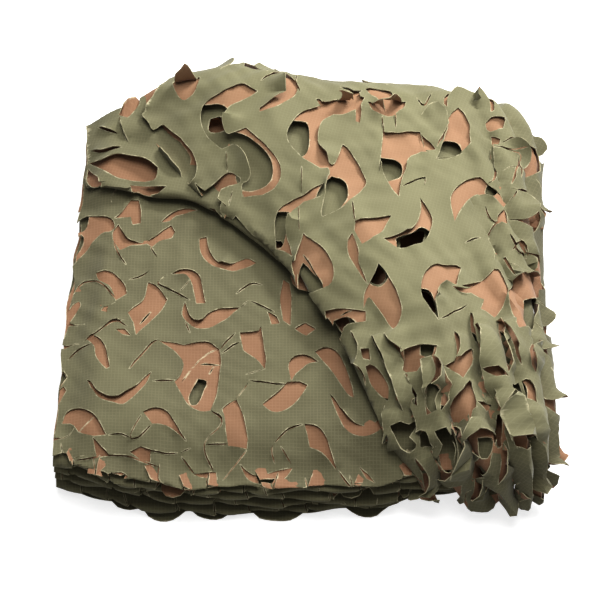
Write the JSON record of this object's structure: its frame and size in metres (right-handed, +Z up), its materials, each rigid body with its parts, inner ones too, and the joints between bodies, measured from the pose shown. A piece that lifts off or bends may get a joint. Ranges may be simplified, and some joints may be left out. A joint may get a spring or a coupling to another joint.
{
  "type": "folded camouflage netting",
  "caption": "Leaf-cut camouflage net of green and tan cloth, folded back and forth into a square pad with its last layers turned over the top.",
  "frame": {"origin": "centre of the net's outline on the ground, at the underside of its lowest layer", "axes": "+Z up; the pad's stacked front folds face -Y; the raised bundle hangs over the +X side"},
  "size_m": [0.4674, 0.4902, 0.1262],
  "materials": {
    "net_cloth": "matt ripstop cloth, olive green on its face and tan on its back"
  },
  "bodies": {
    "root": {"camouflage_net": "net_cloth"}
  },
  "joints": []
}
